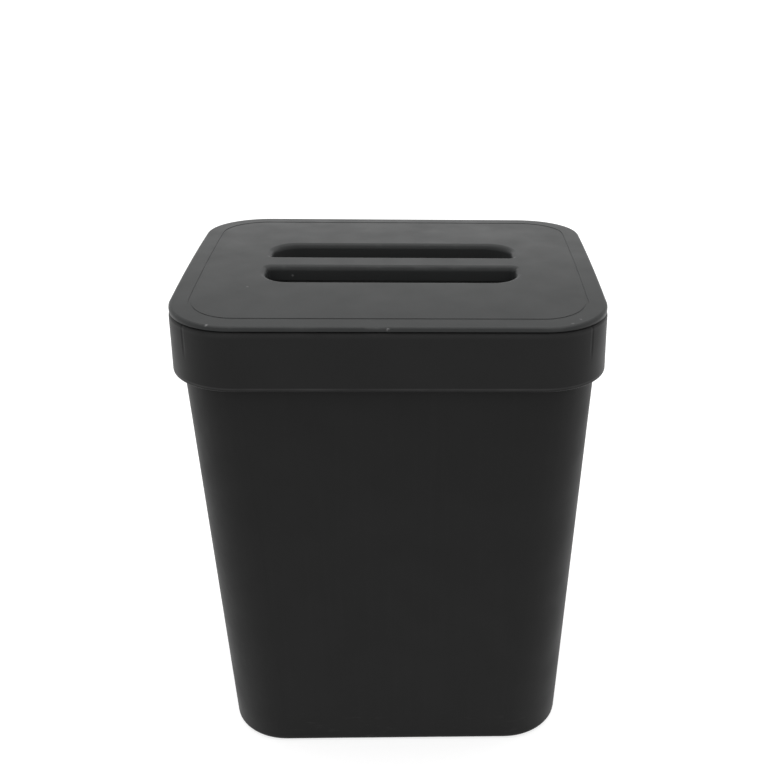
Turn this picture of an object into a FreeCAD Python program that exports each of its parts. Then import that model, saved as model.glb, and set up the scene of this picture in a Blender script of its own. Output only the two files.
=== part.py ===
import FreeCAD, Part
import collections
import math
import os

# Lidded kitchen waste bin: a tapered bucket, a collar that holds the bag, and a lift-off lid.
# Millimetres. +Z is up, the front faces -Y, and the origin is the middle of the footprint.

# Bucket, measured outside
base_width = 207.4
base_depth = 166.9
base_radius = 35.3
rim_width = 222.8
rim_depth = 182.3
rim_radius = 32.6
body_height = 278.6
body_wall = 2.2
floor_thickness = 2.6
base_fillet = 3.5
floor_fillet = 6.0
rim_rounding_share = 0.25
stand_rim = 10.0
stand_recess = 1.4
gate_radius = 5.0
gate_depth = 0.5

# Collar: a skirt outside the rim, which flares towards its hem, a web on top of the rim and a leg inside it
collar_gap = 1.4
collar_wall = 2.2
collar_flare = 1.0
collar_height = 32.2
collar_web = 2.5
collar_top_fillet = 2.0
collar_hem_fillet = 1.0
leg_gap = 0.6
leg_wall = 2.0
leg_height = 16.0
mouth_fillet = 0.8
rib_clearance = 0.3
rib_width = 1.6
rib_drop = 24.0
front_rib_shares = (-0.75, -0.25, 0.25, 0.75)
side_rib_shares = (-0.5, 0.5)
corner_rib_angle = 39.0

# Lid cover, whose top is curved from front to back
lid_setback = 0.3
lid_edge = 2.0
lid_edge_fillet = 1.7
crown_rise = 2.9
shadow_gap = 0.5
seat_inset = 1.6
seat_width = 2.5
cover_wall = 2.2
cover_ledge = 6.0
groove_inset = 10.0
groove_width = 1.6
groove_depth = 0.2
grip_length = 139.0
slot_width = 23.5
grip_corner = 14.0
bar_width = 17.7
bar_depth = 9.0
bar_corner = 2.0
lip_fillet = 2.9
under_fillet = 0.8
skirt_wall = 2.2
boss_radius = 4.5
peg_radius = 2.0
peg_clearance = 0.2
peg_head_radius = 3.6
peg_head_height = 1.6
head_rounding_share = 0.75

# Lid liner: the pan under the finger slots and the wall that plugs the collar's mouth
liner_wall = 2.0
plug_gap = 1.4
plug_depth = 11.0
pan_clearance = 0.6
pan_depth = 28.0
pan_taper = 1.2
pan_fillet = 6.0
gusset_thickness = 1.4
gusset_height = 8.0
gusset_shares = (-0.5, 0.5)

# Seal ring, seated in a groove of the plug wall
seal_height = 4.0
seal_drop = 3.0
seal_groove = 0.7
seal_slack = 0.1
seal_band = 0.3
seal_lip_height = 1.0
seal_clearance = 0.3

# How far a cutting solid runs past what it cuts, and how near an edge lies to a height to count as there
overrun = 5.0
near = 0.001

quarter_turn = 90
half_quarter = quarter_turn / 2

Outline = collections.namedtuple("Outline", "width depth radius")


def grown(outline, by):
    """The outline moved outwards on every side, or inwards where by is negative."""
    return Outline(outline.width + 2 * by, outline.depth + 2 * by, outline.radius + by)


def rounded_wire(left, right, front, back, front_radius, back_radius, z):
    """A closed rectangle with arcs at its corners, at height z."""
    corners = (
        (right - back_radius, back - back_radius, back_radius),
        (left + back_radius, back - back_radius, back_radius),
        (left + front_radius, front + front_radius, front_radius),
        (right - front_radius, front + front_radius, front_radius),
    )
    arcs = []
    for corner, (x, y, radius) in enumerate(corners):
        points = []
        for turn in (0, half_quarter, quarter_turn):
            angle = math.radians(corner * quarter_turn + turn)
            points.append(FreeCAD.Vector(x + radius * math.cos(angle), y + radius * math.sin(angle), z))
        arcs.append(points)
    edges = []
    for points, following in zip(arcs, arcs[1:] + arcs[:1]):
        edges.append(Part.Arc(*points).toShape())
        edges.append(Part.LineSegment(points[-1], following[0]).toShape())
    return Part.Wire(edges)


def outline_wire(outline, z):
    """The outline about the Z axis, at height z."""
    x = outline.width / 2
    y = outline.depth / 2
    return rounded_wire(-x, x, -y, y, outline.radius, outline.radius, z)


def prism(outline, low, high):
    """A straight block of this outline."""
    face = Part.Face(outline_wire(outline, low))
    return face.extrude(FreeCAD.Vector(0, 0, high - low))


def ring(outer, inner, low, high):
    """A straight wall between two outlines."""
    return prism(outer, low, high).cut(prism(inner, low - overrun, high + overrun))


def tapered(low_outline, low, high_outline, high):
    """A block that changes evenly from one outline to the other."""
    wires = [outline_wire(low_outline, low), outline_wire(high_outline, high)]
    return Part.makeLoft(wires, True, True)


def box(left, right, front, back, low, high):
    """A plain block between two corners."""
    corner = FreeCAD.Vector(left, front, low)
    return Part.makeBox(right - left, back - front, high - low, corner)


def cylinder(radius, x, y, low, high):
    """An upright round block."""
    return Part.makeCylinder(radius, high - low, FreeCAD.Vector(x, y, low))


def edges_between(shape, low, high, within=None):
    """The shape's edges between two heights, and only those inside an outline where one is given."""
    found = []
    for edge in shape.Edges:
        bounds = edge.BoundBox
        if bounds.ZMin < low - near or bounds.ZMax > high + near:
            continue
        if within:
            inside_x = max(-bounds.XMin, bounds.XMax) < within.width / 2 + near
            inside_y = max(-bounds.YMin, bounds.YMax) < within.depth / 2 + near
            if not (inside_x and inside_y):
                continue
        found.append(edge)
    return found


def edges_at(shape, z, within=None):
    """The shape's level edges at height z, and only those inside an outline where one is given."""
    return edges_between(shape, z, z, within)


# Heights and outlines that the pieces share
floor_low = stand_recess
floor_top = floor_low + floor_thickness
collar_top = body_height + collar_web
collar_low = collar_top - collar_height
lid_low = collar_top + shadow_gap
border_top = lid_low + lid_edge
crown_top = border_top + crown_rise
bar_low = crown_top - bar_depth
liner_under = lid_low - liner_wall
plug_low = liner_under - plug_depth
pan_floor = crown_top - pan_depth
seal_high = liner_under - seal_drop
seal_low = seal_high - seal_height

base = Outline(base_width, base_depth, base_radius)
rim = Outline(rim_width, rim_depth, rim_radius)


def bucket_outline(z, inset):
    """The bucket's outside at height z, moved inwards by inset."""
    share = z / body_height
    outside = Outline(*(low + (high - low) * share for low, high in zip(base, rim)))
    return grown(outside, -inset)


collar_outline = grown(rim, collar_gap + collar_wall)


def skirt_outline(z, inset):
    """The collar's outside at height z, moved inwards by inset."""
    share = (collar_top - z) / collar_height
    return grown(collar_outline, collar_flare * share - inset)


leg_outside = bucket_outline(body_height - leg_height, body_wall + leg_gap)
mouth = grown(leg_outside, -leg_wall)
lid_outline = grown(collar_outline, -lid_setback)
grip = Outline(grip_length, bar_width + 2 * slot_width, grip_corner)
grip_skirt = grown(grip, skirt_wall)
plug = grown(mouth, -plug_gap)
plug_inside = grown(plug, -liner_wall)
pan_top_inside = grown(grip_skirt, pan_clearance)
pan_top_outside = grown(pan_top_inside, liner_wall)


def make_bin_body():
    """Tapered bucket on a standing rim, with its gate mark in the middle of the base."""
    body = tapered(base, 0, rim, body_height)
    body = body.makeFillet(base_fillet, edges_at(body, 0))
    inside_top = body_height + overrun
    inside_low = bucket_outline(floor_top, body_wall)
    inside_high = bucket_outline(inside_top, body_wall)
    hollow = tapered(inside_low, floor_top, inside_high, inside_top)
    hollow = hollow.makeFillet(floor_fillet, edges_at(hollow, floor_top))
    body = body.cut(hollow)
    body = body.makeFillet(rim_rounding_share * body_wall, edges_at(body, body_height))
    body = body.cut(prism(grown(base, -stand_rim), -overrun, floor_low))
    return body.cut(cylinder(gate_radius, 0, 0, -overrun, floor_low + gate_depth))


def with_mirrored(shapes, normal):
    """The shapes and their mirror images across the plane through the origin with this normal."""
    return shapes + [shape.mirror(FreeCAD.Vector(0, 0, 0), normal) for shape in shapes]


def collar_ribs():
    """Upright ribs inside the skirt, which centre the collar on the bucket's rim."""
    low = body_height - rib_drop
    half = rib_width / 2
    reach = collar_gap + collar_wall / 2
    rim_x = rim_width / 2
    rim_y = rim_depth / 2
    back_ribs = []
    for share in front_rib_shares:
        x = share * (rim_x - rim_radius)
        back_ribs.append(box(x - half, x + half, rim_y + rib_clearance, rim_y + reach, low, body_height))
    right_ribs = []
    for share in side_rib_shares:
        y = share * (rim_y - rim_radius)
        right_ribs.append(box(rim_x + rib_clearance, rim_x + reach, y - half, y + half, low, body_height))
    corner_rib = box(rim_radius + rib_clearance, rim_radius + reach, -half, half, low, body_height)
    corner_rib.rotate(FreeCAD.Vector(0, 0, 0), FreeCAD.Vector(0, 0, 1), corner_rib_angle)
    corner_rib.translate(FreeCAD.Vector(rim_x - rim_radius, rim_y - rim_radius, 0))
    across_x = FreeCAD.Vector(1, 0, 0)
    across_y = FreeCAD.Vector(0, 1, 0)
    corner_ribs = with_mirrored(with_mirrored([corner_rib], across_x), across_y)
    return with_mirrored(back_ribs, across_y) + with_mirrored(right_ribs, across_x) + corner_ribs


def make_bag_collar():
    """Band round the top: its skirt hides the bag's edge, its web rests on the bucket's rim."""
    collar = tapered(skirt_outline(collar_low, 0), collar_low, collar_outline, collar_top)
    collar = collar.makeFillet(collar_top_fillet, edges_at(collar, collar_top))
    collar = collar.makeFillet(collar_hem_fillet, edges_at(collar, collar_low))
    inside_low = collar_low - overrun
    inside_hem = skirt_outline(inside_low, collar_wall)
    inside_rim = skirt_outline(body_height, collar_wall)
    collar = collar.cut(tapered(inside_hem, inside_low, inside_rim, body_height))
    collar = collar.fuse(ring(leg_outside, mouth, body_height - leg_height, body_height))
    collar = collar.cut(prism(mouth, body_height - overrun, collar_top + overrun))
    collar = collar.fuse(collar_ribs()).removeSplitter()
    return collar.makeFillet(mouth_fillet, edges_at(collar, collar_top, mouth))


def peg_places():
    """Where the cover's pegs hold the liner: in the middle of the plate between pan and plug wall."""
    x = (pan_top_outside.width + plug_inside.width) / 4
    y = (pan_top_outside.depth + plug_inside.depth) / 4
    return [(-x, -y), (0, -y), (x, -y), (-x, 0), (x, 0), (-x, y), (0, y), (x, y)]


def crown_block(inset):
    """A block that reaches past the lid, under a curve that lies inset below the lid's top."""
    half_depth = lid_outline.depth / 2
    crown_radius = (half_depth ** 2 + crown_rise ** 2) / (2 * crown_rise)
    x = lid_outline.width / 2 + overrun
    y = half_depth + overrun
    low = bar_low - overrun
    top = crown_top - inset
    side = crown_top - crown_radius + math.sqrt((crown_radius - inset) ** 2 - y ** 2)
    front_low = FreeCAD.Vector(-x, -y, low)
    front_high = FreeCAD.Vector(-x, -y, side)
    middle = FreeCAD.Vector(-x, 0, top)
    back_high = FreeCAD.Vector(-x, y, side)
    back_low = FreeCAD.Vector(-x, y, low)
    edges = [
        Part.LineSegment(front_low, front_high).toShape(),
        Part.Arc(front_high, middle, back_high).toShape(),
        Part.LineSegment(back_high, back_low).toShape(),
        Part.LineSegment(back_low, front_low).toShape(),
    ]
    return Part.Face(Part.Wire(edges)).extrude(FreeCAD.Vector(2 * x, 0, 0))


def slot_block(front, back, front_radius, back_radius):
    """What is cut for one finger slot, between the bar and the edge of the grip recess."""
    half = grip_length / 2
    wire = rounded_wire(-half, half, front, back, front_radius, back_radius, bar_low - overrun)
    return Part.Face(wire).extrude(FreeCAD.Vector(0, 0, bar_depth + 2 * overrun))


def make_lid_cover():
    """Top of the lid: a curved plate with a fine groove round it and a hollow bar between two finger slots."""
    cover = prism(lid_outline, lid_low, crown_top + overrun).common(crown_block(0))
    top_face = max(cover.Faces, key=lambda face: face.CenterOfMass.z)
    cover = cover.makeFillet(lid_edge_fillet, top_face.Edges)

    groove_outside = grown(lid_outline, -groove_inset)
    groove_inside = grown(groove_outside, -groove_width)
    groove = ring(groove_outside, groove_inside, lid_low, crown_top + overrun)
    cover = cover.cut(groove.cut(crown_block(groove_depth)))

    seat_inside = grown(mouth, seat_inset)
    cover = cover.fuse(ring(grown(seat_inside, seat_width), seat_inside, collar_top, lid_low))
    pocket = prism(grown(plug, -cover_ledge), lid_low - overrun, crown_top)
    cover = cover.cut(pocket.common(crown_block(cover_wall)))
    bosses = [cylinder(boss_radius, x, y, lid_low, crown_top) for x, y in peg_places()]
    stiffening = prism(grip_skirt, bar_low, crown_top).fuse(bosses)
    cover = cover.fuse(stiffening.common(crown_block(cover_wall / 2))).removeSplitter()

    bar_half = bar_width / 2
    recess_half = grip.depth / 2
    cover = cover.cut(slot_block(-recess_half, -bar_half, grip_corner, bar_corner))
    cover = cover.cut(slot_block(bar_half, recess_half, bar_corner, grip_corner))
    cover = cover.makeFillet(lip_fillet, edges_between(cover, border_top, crown_top, grip))
    cover = cover.makeFillet(under_fillet, edges_at(cover, bar_low, grip))

    core_x = grip_length / 2
    core_y = bar_half - skirt_wall
    core_top = crown_top - skirt_wall
    cover = cover.cut(box(-core_x, core_x, -core_y, core_y, bar_low - overrun, core_top))

    for x, y in peg_places():
        head = cylinder(peg_head_radius, x, y, liner_under - peg_head_height, liner_under)
        rounding = head_rounding_share * peg_head_height
        head = head.makeFillet(rounding, edges_at(head, liner_under - peg_head_height))
        cover = cover.fuse([cylinder(peg_radius, x, y, liner_under, lid_low), head])
    return cover.removeSplitter()


def gussets():
    """Thin webs under the liner's plate, from the pan to the plug wall."""
    low = liner_under - gusset_height
    half = gusset_thickness / 2
    bite = liner_wall / 2
    near_x = pan_top_outside.width / 2 - bite
    near_y = pan_top_outside.depth / 2 - bite
    far_x = plug_inside.width / 2 + bite
    far_y = plug_inside.depth / 2 + bite
    webs = []
    for share in gusset_shares:
        x = share * pan_top_outside.width / 2
        webs.append(box(x - half, x + half, -far_y, -near_y, low, liner_under))
        webs.append(box(x - half, x + half, near_y, far_y, low, liner_under))
        y = share * pan_top_outside.depth / 2
        webs.append(box(-far_x, -near_x, y - half, y + half, low, liner_under))
        webs.append(box(near_x, far_x, y - half, y + half, low, liner_under))
    return webs


def make_lid_liner():
    """Underside of the lid: plug wall, plate and the pan under the finger slots."""
    liner = prism(plug, plug_low, lid_low)
    liner = liner.cut(prism(plug_inside, plug_low - overrun, liner_under))
    liner = liner.fuse(gussets())

    pan_low = pan_floor - liner_wall
    pan = tapered(grown(pan_top_outside, -pan_taper), pan_low, pan_top_outside, lid_low)
    pan = pan.makeFillet(pan_fillet + liner_wall, edges_at(pan, pan_low))
    hollow = tapered(grown(pan_top_inside, -pan_taper), pan_floor, pan_top_inside, lid_low)
    hollow = hollow.makeFillet(pan_fillet, edges_at(hollow, pan_floor))
    liner = liner.fuse(pan).cut(hollow).removeSplitter()

    seal_seat = ring(grown(plug, overrun), grown(plug, -seal_groove), seal_low, seal_high)
    liner = liner.cut(seal_seat)
    for x, y in peg_places():
        hole = cylinder(peg_radius + peg_clearance, x, y, liner_under - overrun, lid_low + overrun)
        liner = liner.cut(hole)
    return liner


def make_lid_seal():
    """Soft ring with two lips, which fills the gap between the plug wall and the collar's mouth."""
    inside = grown(plug, -seal_groove + seal_slack)
    lip = grown(mouth, -seal_clearance)
    seal = ring(grown(plug, seal_band), inside, seal_low, seal_high)
    seal = seal.fuse(ring(lip, inside, seal_low, seal_low + seal_lip_height))
    seal = seal.fuse(ring(lip, inside, seal_high - seal_lip_height, seal_high))
    return seal.removeSplitter()


os.makedirs("parts", exist_ok=True)
make_bin_body().exportStep("parts/bin_body.step")
make_bag_collar().exportStep("parts/bag_collar.step")
make_lid_cover().exportStep("parts/lid_cover.step")
make_lid_liner().exportStep("parts/lid_liner.step")
make_lid_seal().exportStep("parts/lid_seal.step")
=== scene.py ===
import math

import bpy
from mathutils import Matrix, Vector

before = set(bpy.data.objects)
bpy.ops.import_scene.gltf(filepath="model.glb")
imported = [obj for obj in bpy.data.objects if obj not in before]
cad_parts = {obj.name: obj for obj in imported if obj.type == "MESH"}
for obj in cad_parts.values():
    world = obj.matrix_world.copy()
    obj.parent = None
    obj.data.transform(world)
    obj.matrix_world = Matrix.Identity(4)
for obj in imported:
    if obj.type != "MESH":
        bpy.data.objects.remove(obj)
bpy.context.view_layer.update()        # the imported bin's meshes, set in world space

# Bucket
# The tapered bucket that holds the waste, one injection moulding in charcoal polypropylene.
# Its outside comes from a spark-eroded mould and is matt. The core was polished, so the inside is smoother
# and a bag slides out. It stands on its own moulded rim.
MM = 0.001
POLYPROPYLENE_IOR = 1.49

# The sockets of a mix of colours and of a mix of numbers, which Blender numbers and does not name apart
MIX_FACTOR, MIX_UNDER, MIX_OVER, MIX_RESULT = 0, 6, 7, 2
BLEND_FACTOR, BLEND_UNDER, BLEND_OVER, BLEND_RESULT = 0, 2, 3, 0


def linear(shade):
    """An sRGB hex colour as the linear colour that a shader takes."""
    levels = [int(shade[place:place + 2], 16) / 255 for place in (1, 3, 5)]
    light = [level / 12.92 if level <= 0.04045 else ((level + 0.055) / 1.055) ** 2.4 for level in levels]
    return light + [1.0]


def scale_of(width):
    """The texture scale that draws its marks about this wide."""
    return 1 / width


def new_material(name):
    """A material with no nodes yet, and its node tree."""
    material = bpy.data.materials.new(name)
    material.use_nodes = True
    material.node_tree.nodes.clear()
    return material, material.node_tree


def add_node(tree, kind, settings, links):
    """Adds a node, sets its options and its own inputs, and links its other inputs to what feeds them."""
    node = tree.nodes.new(kind)
    for name, value in settings.items():
        if isinstance(name, str) and hasattr(node, name):
            setattr(node, name, value)
        else:
            node.inputs[name].default_value = value
    for name, source in links.items():
        tree.links.new(source, node.inputs[name])
    return node


def patches(tree, where, width, detail, least, most, low=0.0, high=1.0):
    """Random patches about this wide: low where their noise is under least, high where it is over most."""
    cloudy = add_node(
        tree, "ShaderNodeTexNoise", {"Scale": scale_of(width), "Detail": detail}, {"Vector": where}
    )
    return add_node(
        tree, "ShaderNodeMapRange", {"From Min": least, "From Max": most, "To Min": low, "To Max": high},
        {"Value": cloudy.outputs["Fac"]},
    ).outputs["Result"]


def rounded_edges(tree, place, width, least, most):
    """1 where an edge is rubbed, in patches about this wide: its face is neither level nor upright."""
    facing = add_node(tree, "ShaderNodeSeparateXYZ", {}, {"Vector": place.outputs["Normal"]})
    level = add_node(tree, "ShaderNodeMath", {"operation": "POWER", 1: 2.0}, {0: facing.outputs["Z"]})
    upright = add_node(tree, "ShaderNodeMath", {"operation": "SUBTRACT", 0: 1.0}, {1: level.outputs[0]})
    edge = add_node(
        tree, "ShaderNodeMath", {"operation": "MULTIPLY"}, {0: level.outputs[0], 1: upright.outputs[0]}
    )
    rubs = patches(tree, place.outputs["Object"], width, detail=5.0, least=least, most=most, high=2.0)
    return add_node(
        tree, "ShaderNodeMath", {"operation": "MULTIPLY", "use_clamp": True}, {0: edge.outputs[0], 1: rubs}
    ).outputs[0]


def moulded_polypropylene(name, deep, pale, worn, dull, smooth, gleam, inside_of):
    """Charcoal polypropylene from a spark-eroded mould, with the two nodes that later detail joins on to.

    To the eye it is a soft, even dark grey. Pits from the mould scatter the light, so it only brightens
    where it is seen at a low angle. Pigment clouds it a little, and rounded edges rub to a paler grey.
    """
    material, tree = new_material(name)
    place = add_node(tree, "ShaderNodeTexCoord", {}, {})
    where = place.outputs["Object"]

    # Pigment that did not mix evenly: clouds a few centimetres wide
    cloud_width = 40 * MM
    clouds = add_node(
        tree, "ShaderNodeTexNoise", {"Scale": scale_of(cloud_width), "Detail": 3.0}, {"Vector": where}
    )
    clouded = add_node(
        tree, "ShaderNodeMix", {"data_type": "RGBA", MIX_UNDER: linear(deep), MIX_OVER: linear(pale)},
        {MIX_FACTOR: clouds.outputs["Fac"]},
    )

    # Handling rubs the rounded edges paler in patches
    rub_width = 16 * MM
    rubs = rounded_edges(tree, place, rub_width, least=0.56, most=0.8)
    rubbed = add_node(
        tree, "ShaderNodeMix", {"data_type": "RGBA", MIX_OVER: linear(worn)},
        {MIX_FACTOR: rubs, MIX_UNDER: clouded.outputs[MIX_RESULT]},
    )

    # The eroded mould's pits are about 0.1 mm wide, too fine to show, so they are drawn 1 mm wide
    pit_width, pit_depth = 1 * MM, 0.05 * MM
    pits = add_node(
        tree, "ShaderNodeTexNoise", {"Scale": scale_of(pit_width), "Detail": 2.0}, {"Vector": where}
    )
    pitted = add_node(
        tree, "ShaderNodeBump", {"Strength": 0.18, "Distance": pit_depth}, {"Height": pits.outputs["Fac"]}
    )

    # Hands and cloths leave wide, faint changes of gloss
    smear_width, smear_change = 22 * MM, 0.04
    matt = patches(
        tree, where, smear_width, detail=4.0, least=0.3, most=0.7,
        low=dull - smear_change, high=dull + smear_change,
    )

    # The polished side faces the middle of the piece, and inside_of adds what faces up (-1) or down (1)
    inward_limit = -0.2
    flat = add_node(tree, "ShaderNodeVectorMath", {"operation": "MULTIPLY", 1: (1.0, 1.0, 0.0)}, {0: where})
    outwards = add_node(tree, "ShaderNodeVectorMath", {"operation": "NORMALIZE"}, {0: flat.outputs[0]})
    leaning = add_node(
        tree, "ShaderNodeVectorMath", {"operation": "ADD", 1: (0.0, 0.0, inside_of)},
        {0: outwards.outputs[0]},
    )
    outside = add_node(
        tree, "ShaderNodeVectorMath", {"operation": "DOT_PRODUCT"},
        {0: leaning.outputs[0], 1: place.outputs["Normal"]},
    )
    is_inside = add_node(
        tree, "ShaderNodeMath", {"operation": "LESS_THAN", 1: inward_limit}, {0: outside.outputs["Value"]}
    )
    roughness = add_node(
        tree, "ShaderNodeMix", {"data_type": "FLOAT", BLEND_OVER: smooth},
        {BLEND_FACTOR: is_inside.outputs[0], BLEND_UNDER: matt},
    )

    surface = add_node(
        tree, "ShaderNodeBsdfPrincipled", {"IOR": POLYPROPYLENE_IOR, "Specular IOR Level": gleam},
        {"Base Color": rubbed.outputs[MIX_RESULT], "Roughness": roughness.outputs[BLEND_RESULT],
         "Normal": pitted.outputs["Normal"]},
    )
    add_node(tree, "ShaderNodeOutputMaterial", {}, {"Surface": surface.outputs["BSDF"]})
    return material, place, surface


def lay_over(tree, surface, shade, mask):
    """Lays one more colour over what already colours the surface, where the mask is 1."""
    under = surface.inputs["Base Color"].links[0].from_socket
    covered = add_node(
        tree, "ShaderNodeMix", {"data_type": "RGBA", MIX_OVER: linear(shade)},
        {MIX_FACTOR: mask, MIX_UNDER: under},
    )
    tree.links.new(covered.outputs[MIX_RESULT], surface.inputs["Base Color"])


bucket_plastic, bucket_place, bucket_surface = moulded_polypropylene(
    "matt_polypropylene_bucket", deep="#242424", pale="#292929", worn="#4a4a4a",
    dull=0.48, smooth=0.38, gleam=0.1, inside_of=-1.0,
)
bucket_tree = bucket_plastic.node_tree
bucket_where = bucket_place.outputs["Object"]

# Drawing the bucket out of its mould dragged faint upright streaks, a few millimetres wide, along its walls
streak_width, streak_squeeze = 4 * MM, (1.0, 1.0, 0.03)
upright = add_node(bucket_tree, "ShaderNodeMapping", {"Scale": streak_squeeze}, {"Vector": bucket_where})
streaks = patches(
    bucket_tree, upright.outputs["Vector"], streak_width, detail=2.0, least=0.5, most=0.75, high=0.15
)
lay_over(bucket_tree, bucket_surface, "#2d2d2d", streaks)

# Being pushed about on counters and floors scuffs the lowest three centimetres in short level strokes
stroke_width, stroke_squeeze = 2.5 * MM, (0.25, 0.25, 1.0)
scuff_top, scuff_full = 30 * MM, 2 * MM
level = add_node(bucket_tree, "ShaderNodeMapping", {"Scale": stroke_squeeze}, {"Vector": bucket_where})
strokes = patches(bucket_tree, level.outputs["Vector"], stroke_width, detail=4.0, least=0.6, most=0.75)
bucket_axes = add_node(bucket_tree, "ShaderNodeSeparateXYZ", {}, {"Vector": bucket_where})
low_down = add_node(
    bucket_tree, "ShaderNodeMapRange", {"From Min": scuff_top, "From Max": scuff_full, "To Max": 0.5},
    {"Value": bucket_axes.outputs["Z"]},
)
scuffs = add_node(
    bucket_tree, "ShaderNodeMath", {"operation": "MULTIPLY"}, {0: strokes, 1: low_down.outputs["Result"]}
)
lay_over(bucket_tree, bucket_surface, "#3c3c3c", scuffs.outputs[0])
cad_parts["bin_body"].material_slots[0].material = bucket_plastic

# Collar
# The band that drops over the bucket's rim and holds the edge of the bag, in the same polypropylene.
# Its skirt is matt outside, its mouth is smooth, and ribs inside the skirt centre it on the rim.
collar_plastic, collar_place, collar_surface = moulded_polypropylene(
    "matt_polypropylene_collar", deep="#202020", pale="#252525", worn="#4c4c4c",
    dull=0.46, smooth=0.42, gleam=0.14, inside_of=0.0,
)
collar_tree = collar_plastic.node_tree
collar_where = collar_place.outputs["Object"]

# Two streams of plastic met near each corner of the mould and left a sunken weld line below the lid. The
# line is also coloured dark, as painted shade in its hollow
corner_middle, corner_radius = (78.8 * MM, 58.55 * MM, 0.0), 36.2 * MM
weld_angle, weld_width, weld_depth = math.radians(46), 3 * MM, 0.15 * MM
weld_low, weld_full = 261 * MM, 270 * MM
mirrored = add_node(collar_tree, "ShaderNodeVectorMath", {"operation": "ABSOLUTE"}, {0: collar_where})
from_corner = add_node(
    collar_tree, "ShaderNodeVectorMath", {"operation": "SUBTRACT", 1: corner_middle},
    {0: mirrored.outputs[0]},
)
corner_axes = add_node(collar_tree, "ShaderNodeSeparateXYZ", {}, {"Vector": from_corner.outputs[0]})
collar_height = corner_axes.outputs["Z"]
round_corner = add_node(
    collar_tree, "ShaderNodeMath", {"operation": "ARCTAN2"},
    {0: corner_axes.outputs["Y"], 1: corner_axes.outputs["X"]},
)
past_weld = add_node(
    collar_tree, "ShaderNodeMath", {"operation": "SUBTRACT", 1: weld_angle}, {0: round_corner.outputs[0]}
)
beside_weld = add_node(collar_tree, "ShaderNodeMath", {"operation": "ABSOLUTE"}, {0: past_weld.outputs[0]})
at_weld = add_node(
    collar_tree, "ShaderNodeMapRange",
    {"interpolation_type": "SMOOTHSTEP", "From Min": 0.0, "From Max": weld_width / 2 / corner_radius,
     "To Min": 1.0, "To Max": 0.0},
    {"Value": beside_weld.outputs[0]},
)
below_lid = add_node(
    collar_tree, "ShaderNodeMapRange",
    {"interpolation_type": "SMOOTHSTEP", "From Min": weld_low, "From Max": weld_full},
    {"Value": collar_height},
)
weld_groove_and_shade = add_node(
    collar_tree, "ShaderNodeMath", {"operation": "MULTIPLY"},
    {0: at_weld.outputs["Result"], 1: below_lid.outputs["Result"]},
)
sunken = add_node(
    collar_tree, "ShaderNodeBump", {"invert": True, "Strength": 1.0, "Distance": weld_depth},
    {"Height": weld_groove_and_shade.outputs[0], "Normal": collar_surface.inputs["Normal"].links[0].from_socket},
)
collar_tree.links.new(sunken.outputs["Normal"], collar_surface.inputs["Normal"])
# Painted shade: the sunken weld line is coloured near black
lay_over(collar_tree, collar_surface, "#141414", weld_groove_and_shade.outputs[0])

# A pale line painted just above the hem, broken into patches, is a painted highlight where the hem's
# rounded lower edge catches light
hem_line, hem_reach, hem_full = 250.6 * MM, 0.7 * MM, 0.3 * MM
highlight_breakup_width = 25 * MM
highlight_breakup = patches(collar_tree, collar_where, highlight_breakup_width, detail=3.0, least=0.35, most=0.65, low=0.45)
from_line = add_node(
    collar_tree, "ShaderNodeMath", {"operation": "SUBTRACT", 1: hem_line}, {0: collar_height}
)
beside_line = add_node(collar_tree, "ShaderNodeMath", {"operation": "ABSOLUTE"}, {0: from_line.outputs[0]})
at_hem = add_node(
    collar_tree, "ShaderNodeMapRange", {"From Min": hem_reach, "From Max": hem_full},
    {"Value": beside_line.outputs[0]},
)
hem_painted_highlight = add_node(
    collar_tree, "ShaderNodeMath", {"operation": "MULTIPLY"}, {0: at_hem.outputs["Result"], 1: highlight_breakup}
)
# Painted highlight along the hem
lay_over(collar_tree, collar_surface, "#3c3c3c", hem_painted_highlight.outputs[0])

# A paler band painted round the top edge, in the same patches, is painted light on the rounded edge that
# sits in the shade of the lid
top_low, top_full = 277.6 * MM, 279.2 * MM
at_top = add_node(
    collar_tree, "ShaderNodeMapRange", {"From Min": top_low, "From Max": top_full}, {"Value": collar_height}
)
top_painted_light = add_node(
    collar_tree, "ShaderNodeMath", {"operation": "MULTIPLY"}, {0: at_top.outputs["Result"], 1: highlight_breakup}
)
# Painted light on the collar's top edge
lay_over(collar_tree, collar_surface, "#2c2c2c", top_painted_light.outputs[0])


def nicks(tree, where, points, radius):
    """1 within about this radius of any of the points, where a knock has left a ragged pale nick."""
    grain_width, stray = 1.2 * MM, 3 * MM
    grain = add_node(tree, "ShaderNodeTexNoise", {"Scale": scale_of(grain_width)}, {"Vector": where})
    centred = add_node(
        tree, "ShaderNodeVectorMath", {"operation": "SUBTRACT", 1: (0.5, 0.5, 0.5)},
        {0: grain.outputs["Color"]},
    )
    ragged = add_node(
        tree, "ShaderNodeVectorMath", {"operation": "MULTIPLY_ADD", 1: (stray, stray, stray)},
        {0: centred.outputs[0], 2: where},
    )
    spots = []
    for point in points:
        distance = add_node(
            tree, "ShaderNodeVectorMath", {"operation": "DISTANCE", 1: point}, {0: ragged.outputs[0]}
        )
        spot = add_node(
            tree, "ShaderNodeMapRange", {"From Min": radius, "From Max": radius / 2},
            {"Value": distance.outputs["Value"]},
        )
        spots.append(spot.outputs["Result"])
    mask = spots[0]
    for spot in spots[1:]:
        mask = add_node(tree, "ShaderNodeMath", {"operation": "MAXIMUM"}, {0: mask, 1: spot}).outputs[0]
    return mask


# One knock has left a pale nick on the hem
hem_knock, hem_nick_radius = Vector((-26.5, -98.6, 250.8)) * MM, 1.3 * MM
hem_nick = nicks(collar_tree, collar_where, [hem_knock], hem_nick_radius)
lay_over(collar_tree, collar_surface, "#6a6a6a", hem_nick)
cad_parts["bag_collar"].material_slots[0].material = collar_plastic

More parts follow.
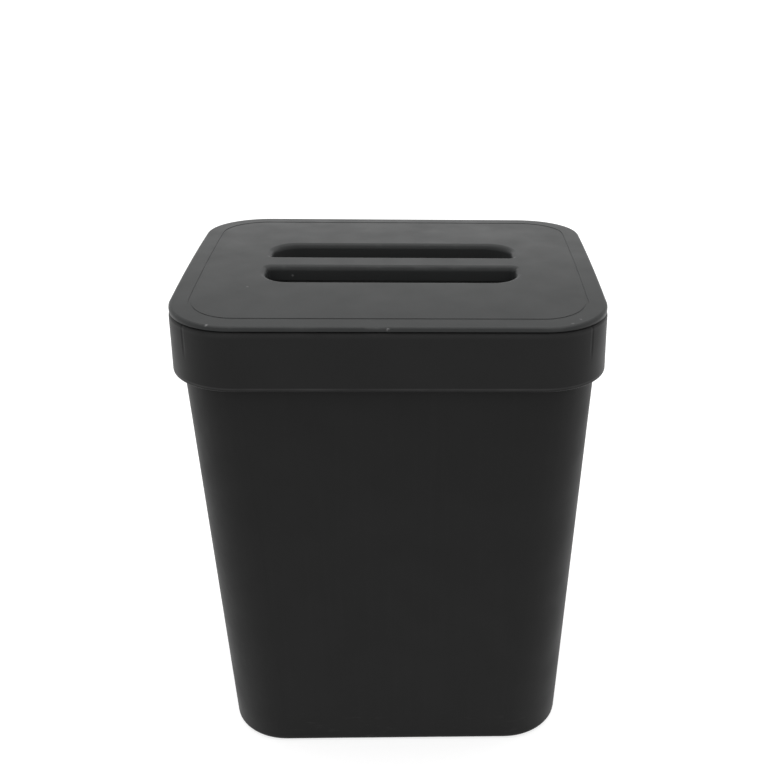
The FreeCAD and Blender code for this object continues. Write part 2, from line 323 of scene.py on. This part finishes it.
# Lid liner
# The underside of the lid: a plate with the pan below the finger slots and the wall that plugs the collar.
# It is moulded in polypropylene from a polished mould, and the cover's pegs are melted over to hold it.
liner_plastic, liner_tree = new_material("polished_polypropylene_liner")
liner_place = add_node(liner_tree, "ShaderNodeTexCoord", {}, {})
liner_where = liner_place.outputs["Object"]

# To the eye it is darker and glossier than the matt pieces, with flow lines that sweep out from the middle
flow_width, flow_depth = 60 * MM, 0.04 * MM
flow = add_node(
    liner_tree, "ShaderNodeTexWave",
    {"wave_type": "RINGS", "rings_direction": "Z", "Scale": scale_of(flow_width), "Distortion": 6.0,
     "Detail": 3.0},
    {"Vector": liner_where},
)
liner_colour = add_node(
    liner_tree, "ShaderNodeMix",
    {"data_type": "RGBA", MIX_UNDER: linear("#2c2c2c"), MIX_OVER: linear("#313131")},
    {MIX_FACTOR: flow.outputs["Fac"]},
)
liner_bump = add_node(
    liner_tree, "ShaderNodeBump", {"Strength": 0.1, "Distance": flow_depth},
    {"Height": flow.outputs["Fac"]},
)

# Wiping rubs its edges paler, and crumbs leave fine dull scratches, drawn 0.6 mm wide so that they show
wipe_width, scratch_width = 9 * MM, 0.6 * MM
liner_rubs = rounded_edges(liner_tree, liner_place, wipe_width, least=0.5, most=0.8)
liner_rubbed = add_node(
    liner_tree, "ShaderNodeMix", {"data_type": "RGBA", MIX_OVER: linear("#3a3a3a")},
    {MIX_FACTOR: liner_rubs, MIX_UNDER: liner_colour.outputs[MIX_RESULT]},
)
liner_gloss = patches(
    liner_tree, liner_where, scratch_width, detail=3.0, least=0.35, most=0.7, low=0.34, high=0.5
)
liner_surface = add_node(
    liner_tree, "ShaderNodeBsdfPrincipled", {"IOR": POLYPROPYLENE_IOR, "Specular IOR Level": 0.3},
    {"Base Color": liner_rubbed.outputs[MIX_RESULT], "Roughness": liner_gloss,
     "Normal": liner_bump.outputs["Normal"]},
)
add_node(liner_tree, "ShaderNodeOutputMaterial", {}, {"Surface": liner_surface.outputs["BSDF"]})
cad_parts["lid_liner"].material_slots[0].material = liner_plastic

# Lid seal
# The soft ring in the plug wall's groove, which closes the mouth of the collar.
# It is moulded in a thermoplastic elastomer and stretched over the wall into its groove.
ELASTOMER_IOR = 1.5
seal_rubber, seal_tree = new_material("moulded_elastomer_seal")
seal_where = add_node(seal_tree, "ShaderNodeTexCoord", {}, {}).outputs["Object"]

# To the eye it is a deep black with no shine, and a grey bloom of dust clings to it in patches
bloom_width = 6 * MM
bloom = patches(seal_tree, seal_where, bloom_width, detail=5.0, least=0.45, most=0.8, high=0.6)
seal_colour = add_node(
    seal_tree, "ShaderNodeMix",
    {"data_type": "RGBA", MIX_UNDER: linear("#171717"), MIX_OVER: linear("#2b2b2b")}, {MIX_FACTOR: bloom},
)
seal_gloss = patches(
    seal_tree, seal_where, bloom_width, detail=5.0, least=0.0, most=1.0, low=0.72, high=0.92
)

# Its pores are too fine to show, so they are drawn 0.7 mm wide
pore_width, pore_depth = 0.7 * MM, 0.05 * MM
pores = add_node(
    seal_tree, "ShaderNodeTexNoise", {"Scale": scale_of(pore_width), "Detail": 2.0}, {"Vector": seal_where}
)
seal_bump = add_node(
    seal_tree, "ShaderNodeBump", {"Strength": 0.25, "Distance": pore_depth},
    {"Height": pores.outputs["Fac"]},
)
seal_surface = add_node(
    seal_tree, "ShaderNodeBsdfPrincipled", {"IOR": ELASTOMER_IOR, "Specular IOR Level": 0.2},
    {"Base Color": seal_colour.outputs[MIX_RESULT], "Roughness": seal_gloss,
     "Normal": seal_bump.outputs["Normal"]},
)
add_node(seal_tree, "ShaderNodeOutputMaterial", {}, {"Surface": seal_surface.outputs["BSDF"]})
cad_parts["lid_seal"].material_slots[0].material = seal_rubber

# Lid cover
# The top of the lid, curved from front to back, with its grip bar, in the same polypropylene as the bucket.
# Its grey is painted lighter than the bucket's, as painted light for the light that falls on its top.
# The liner is pushed on to its pegs from below. Hands rub its edge and the lips of the finger slots most.
# Painted light: the lid's shades are lighter than the bucket's for the light on its top
lid_plastic, lid_place, lid_surface = moulded_polypropylene(
    "matt_polypropylene_lid_painted_lighter", deep="#343535", pale="#393a3a", worn="#5a5a5a",
    dull=0.4, smooth=0.37, gleam=0.16, inside_of=1.0,
)
lid_tree = lid_plastic.node_tree

# Knocks have left pale nicks on the front edge, both front corners, the bar and the top
lid_knocks = [
    Vector(point) * MM for point in (
        (0.2, -94.2, 282.9), (92.6, -88.2, 284.0), (97.7, -83.4, 284.2), (-90.3, -91.2, 283.6),
        (-56.0, -8.9, 281.0), (-76.8, -41.6, 285.9),
    )
]
lid_nick_radius = 0.9 * MM
lid_nicks = nicks(lid_tree, lid_place.outputs["Object"], lid_knocks, lid_nick_radius)
lay_over(lid_tree, lid_surface, "#686868", lid_nicks)
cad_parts["lid_cover"].material_slots[0].material = lid_plastic

# Studio floor
# A seamless white floor that runs out of sight. It is not part of the bin.
# Its paint throws back less soft light than its look suggests, so it does not light the bin from below.
FLOOR_REACH = 14.0
WHITE = linear("#ffffff")
floor_mesh = bpy.data.meshes.new("studio_floor")
floor_mesh.from_pydata(
    [(-FLOOR_REACH, -FLOOR_REACH, 0), (FLOOR_REACH, -FLOOR_REACH, 0),
     (FLOOR_REACH, FLOOR_REACH, 0), (-FLOOR_REACH, FLOOR_REACH, 0)],
    [], [(0, 1, 2, 3)],
)
floor = bpy.data.objects.new("studio_floor", floor_mesh)
bpy.context.scene.collection.objects.link(floor)


def seen_directly(tree):
    """1 for rays from the camera, from gloss and through glass, and 0 for rays that carry soft light."""
    path = add_node(tree, "ShaderNodeLightPath", {}, {})
    direct = add_node(
        tree, "ShaderNodeMath", {"operation": "MAXIMUM"},
        {0: path.outputs["Is Camera Ray"], 1: path.outputs["Is Glossy Ray"]},
    )
    return add_node(
        tree, "ShaderNodeMath", {"operation": "MAXIMUM"},
        {0: direct.outputs[0], 1: path.outputs["Is Transmission Ray"]},
    ).outputs[0]


floor_paint, floor_tree = new_material("white_studio_floor")
paint = add_node(floor_tree, "ShaderNodeBsdfDiffuse", {"Color": linear("#959595")}, {})
shaded = add_node(floor_tree, "ShaderNodeBsdfDiffuse", {"Color": linear("#b3b3b3")}, {})
glow = add_node(floor_tree, "ShaderNodeEmission", {"Color": WHITE, "Strength": 0.72}, {})
white = add_node(floor_tree, "ShaderNodeAddShader", {}, {0: shaded.outputs[0], 1: glow.outputs[0]})
floor_look = add_node(
    floor_tree, "ShaderNodeMixShader", {},
    {0: seen_directly(floor_tree), 1: paint.outputs[0], 2: white.outputs[0]},
)
add_node(floor_tree, "ShaderNodeOutputMaterial", {}, {"Surface": floor_look.outputs[0]})
floor_mesh.materials.append(floor_paint)

# Studio light
# A white room whose soft light comes mostly from above and a little from behind, with a softbox overhead.
# Its walls look white and its ceiling grey, so the lid's sheen fades towards the front.
world = bpy.data.worlds.new("white_room")
bpy.context.scene.world = world
world.use_nodes = True
world_tree = world.node_tree
world_tree.nodes.clear()
direction = add_node(world_tree, "ShaderNodeTexCoord", {}, {}).outputs["Generated"]

light_from = (0.0, 0.2, 1.0)
upwards = add_node(
    world_tree, "ShaderNodeVectorMath", {"operation": "DOT_PRODUCT", 1: light_from}, {0: direction}
)
room = add_node(
    world_tree, "ShaderNodeMapRange", {"To Min": 0.5, "To Max": 1.25}, {"Value": upwards.outputs["Value"]}
)
soft = add_node(
    world_tree, "ShaderNodeBackground", {"Color": WHITE}, {"Strength": room.outputs["Result"]}
)

wall_top, ceiling_edge = 0.3, 0.75
direction_axes = add_node(world_tree, "ShaderNodeSeparateXYZ", {}, {"Vector": direction})
walls = add_node(
    world_tree, "ShaderNodeMapRange",
    {"From Min": wall_top, "From Max": ceiling_edge, "To Min": 1.0, "To Max": 0.3},
    {"Value": direction_axes.outputs["Z"]},
)
backdrop = add_node(
    world_tree, "ShaderNodeBackground", {"Color": WHITE}, {"Strength": walls.outputs["Result"]}
)
sky = add_node(
    world_tree, "ShaderNodeMixShader", {},
    {0: seen_directly(world_tree), 1: soft.outputs[0], 2: backdrop.outputs[0]},
)
add_node(world_tree, "ShaderNodeOutputWorld", {}, {"Surface": sky.outputs[0]})

softbox = bpy.data.lights.new("overhead_softbox", "AREA")
softbox.shape = "RECTANGLE"
softbox.size = 1.6
softbox.size_y = 1.2
softbox.energy = 10.0
overhead = bpy.data.objects.new("overhead_softbox", softbox)
overhead.location = (0.0, 0.35, 1.6)
bpy.context.scene.collection.objects.link(overhead)

# Camera
# It stands in front of the bin, a little to the right and above, as the photograph was taken.
# The focal length and the lens axis are in pixels of the picture, from its top left corner.
IMAGE_SIDE = 780
focal_length = 1076.4
axis_across, axis_down = 456.2, 480.0
pitch, roll, turn = (math.radians(angle) for angle in (29.83, 0.97, 2.21))
stand = Vector((38.78, -595.2, 484.6)) * MM

lens = bpy.data.cameras.new("photo_camera")
lens.sensor_width = 36.0
lens.lens = focal_length / IMAGE_SIDE * lens.sensor_width
lens.shift_x = 0.5 - axis_across / IMAGE_SIDE
lens.shift_y = axis_down / IMAGE_SIDE - 0.5
camera = bpy.data.objects.new("photo_camera", lens)
about_bin = Matrix.Rotation(-turn, 4, "Z")
aim = Matrix.Rotation(math.pi / 2 - pitch, 4, "X") @ Matrix.Rotation(roll, 4, "Z")
camera.matrix_world = about_bin @ Matrix.Translation(stand) @ aim
bpy.context.scene.collection.objects.link(camera)
bpy.context.scene.camera = camera
bpy.context.scene.view_settings.view_transform = "Standard"
